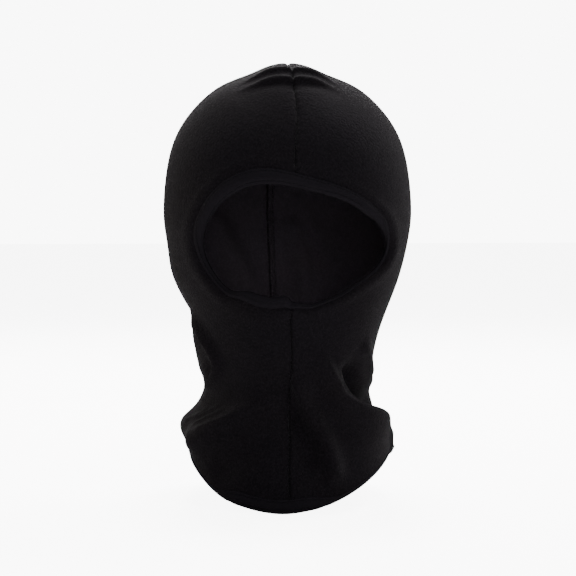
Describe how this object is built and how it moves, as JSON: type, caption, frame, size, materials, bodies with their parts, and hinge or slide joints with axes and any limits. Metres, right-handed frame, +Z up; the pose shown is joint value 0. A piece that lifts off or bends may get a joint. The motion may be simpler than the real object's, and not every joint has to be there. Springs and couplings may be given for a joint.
{
  "type": "balaclava",
  "caption": "Fleece balaclava of two sewn side panels with an oval bound face opening, pleated crown and flared neck.",
  "frame": {"origin": "centre of the space for the head, level with the hood's widest place above the ears", "axes": "+Z up towards the crown, -Y forward through the face opening, +X towards the wearer's left"},
  "size_m": [0.18, 0.2146, 0.3126],
  "materials": {
    "fleece": "black brushed polyester fleece",
    "jersey": "black stretch jersey tape",
    "elastic": "black braided elastic",
    "thread": "black polyester sewing thread",
    "label": "pale woven satin tape, blank"
  },
  "bodies": {
    "root": {"left_panel": "fleece", "right_panel": "fleece", "face_band": "jersey", "hem_band": "jersey", "face_elastic": "elastic", "care_label": "label", "face_band_edge_stitch": "thread", "face_band_inner_stitch": "thread", "face_band_looper_thread": "thread", "hem_band_edge_stitch": "thread", "hem_band_inner_stitch": "thread", "hem_band_looper_thread": "thread", "chin_seam_needle_thread": "thread", "crown_seam_needle_thread": "thread", "chin_seam_overlock_thread": "thread", "crown_seam_overlock_thread": "thread", "face_band_join_stitch": "thread", "hem_band_join_stitch": "thread", "elastic_join_stitch": "thread", "care_label_stitch": "thread", "crown_tuck_tacks": "thread"}
  },
  "joints": []
}
